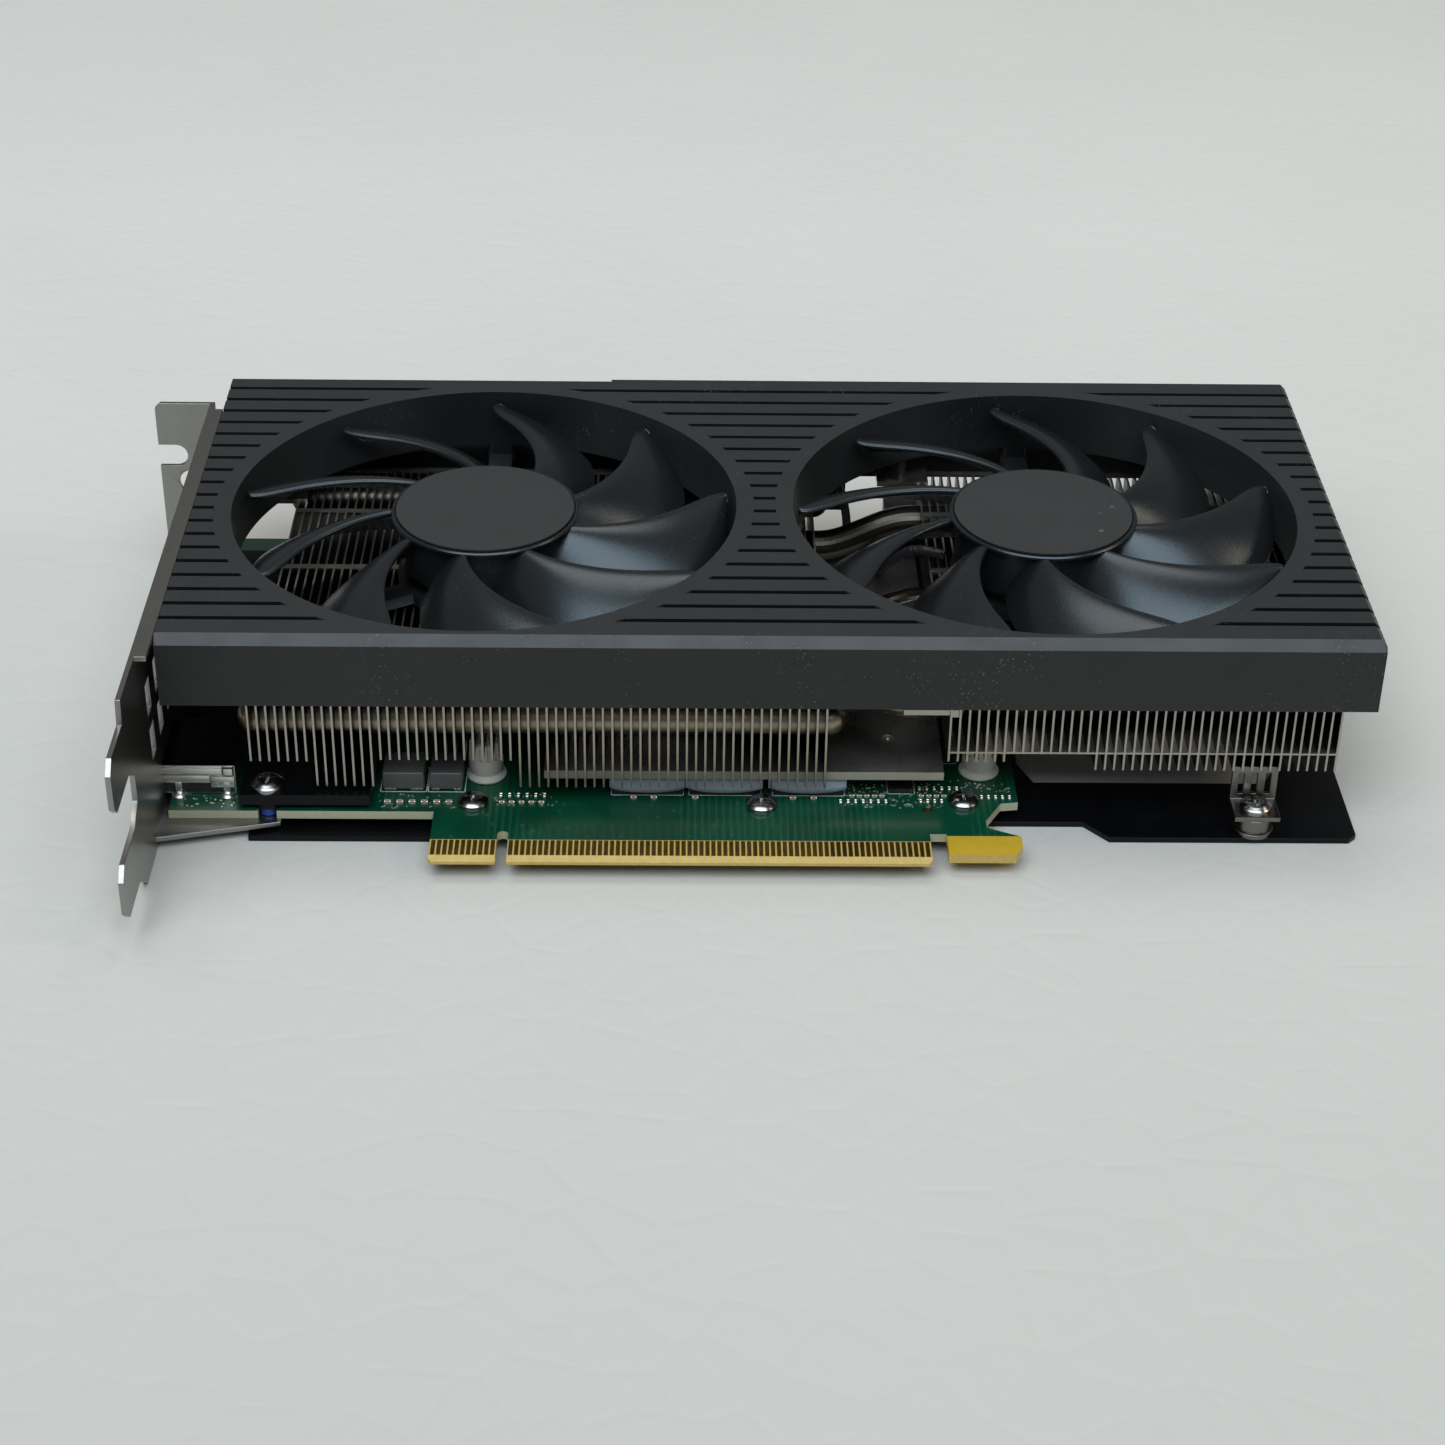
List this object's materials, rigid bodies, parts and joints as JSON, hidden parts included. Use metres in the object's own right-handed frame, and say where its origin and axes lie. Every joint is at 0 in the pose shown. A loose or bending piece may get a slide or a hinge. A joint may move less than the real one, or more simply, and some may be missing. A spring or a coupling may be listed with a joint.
{
  "type": "graphics card",
  "caption": "Two-slot desktop graphics card with two axial fans, ribbed shroud, fin heatsink, edge connector, slot bracket and backplate with a flow-through window.",
  "frame": {"origin": "middle of the card's footprint, at the underside of the backplate it lies on", "axes": "+X from the slot bracket to the tail, +Y from the edge connector to the far edge, +Z from the backplate to the fans"},
  "size_m": [0.2164, 0.1296, 0.039],
  "materials": {
    "shroud_plastic": "fine textured charcoal",
    "fan_plastic": "satin, slightly pearly",
    "frame_plastic": "plain black",
    "cap_face": "matte",
    "magnet": "sintered ferrite ring",
    "steel": "ground shaft",
    "bronze": "sintered sleeve",
    "winding": "enamelled copper wire",
    "board_green": "green solder mask",
    "lead_black": "soft insulation",
    "header_white": "natural nylon",
    "fins": "nickel-plated thin sheet",
    "pipes": "nickel-plated copper tube",
    "base": "nickel-plated plate",
    "pad": "soft grey-blue pad",
    "gold": "gold plate",
    "hook_yellow": "bright yellow plate",
    "package": "green laminate",
    "silicon": "polished die",
    "chip_black": "moulded package",
    "ferrite": "pressed powder block",
    "capacitor": "pale can",
    "small_part": "ceramic chips",
    "port_steel": "nickel-plated shell",
    "bracket_steel": "nickel-plated sheet",
    "screw_steel": "dark nickel",
    "black_metal": "fine textured black",
    "socket_black": "moulded nylon",
    "strap": "nickel-plated sheet"
  },
  "bodies": {
    "card": {"shroud": "shroud_plastic", "shroud_screws": "screw_steel", "fan_screws": "screw_steel", "fan_lead_left": "lead_black", "fan_lead_right": "lead_black", "fan_headers": "header_white", "fin_stack_left": "fins", "fin_stack_right": "fins", "base_plate": "base", "cold_plate": "base", "thermal_pads": "pad", "heat_pipe_left_front": "pipes", "heat_pipe_left_rear": "pipes", "heat_pipe_tail_front": "pipes", "heat_pipe_tail_middle": "pipes", "heat_pipe_tail_rear": "pipes", "circuit_board": "board_green", "edge_contacts": "gold", "hook_plating": "hook_yellow", "gpu_package": "package", "gpu_die": "silicon", "memory_chips": "chip_black", "chokes": "ferrite", "power_stages": "chip_black", "polymer_capacitors": "capacitor", "small_parts": "small_part", "control_chips": "chip_black", "hdmi_port": "port_steel", "display_ports": "port_steel", "power_socket": "socket_black", "power_pins": "gold", "slot_bracket": "bracket_steel", "bracket_screws": "screw_steel", "front_plate": "black_metal", "backplate": "black_metal", "standoffs": "steel", "plate_screws": "screw_steel", "cooler_screws": "screw_steel", "spring_washers": "steel", "tail_strap": "strap", "tail_post": "strap", "tail_screw": "screw_steel", "fan_frame_left": "frame_plastic", "fan_bearing_left": "bronze", "stator_left": "winding", "motor_board_left": "package", "fan_frame_right": "frame_plastic", "fan_bearing_right": "bronze", "stator_right": "winding", "motor_board_right": "package"},
    "fan_left": {"fan_rotor_left": "fan_plastic", "hub_cap_left": "cap_face", "rotor_magnet_left": "magnet", "fan_shaft_left": "steel"},
    "fan_right": {"fan_rotor_right": "fan_plastic", "hub_cap_right": "cap_face", "rotor_magnet_right": "magnet", "fan_shaft_right": "steel"}
  },
  "joints": [
    {"name": "fan_left_spin", "type": "hinge", "parent": "card", "child": "fan_left", "pos_m": [-0.0433, 0.01435, 0.0312], "axis": [0, 0, 1], "continuous": true},
    {"name": "fan_right_spin", "type": "hinge", "parent": "card", "child": "fan_right", "pos_m": [0.05615, 0.01435, 0.0312], "axis": [0, 0, 1], "continuous": true}
  ]
}
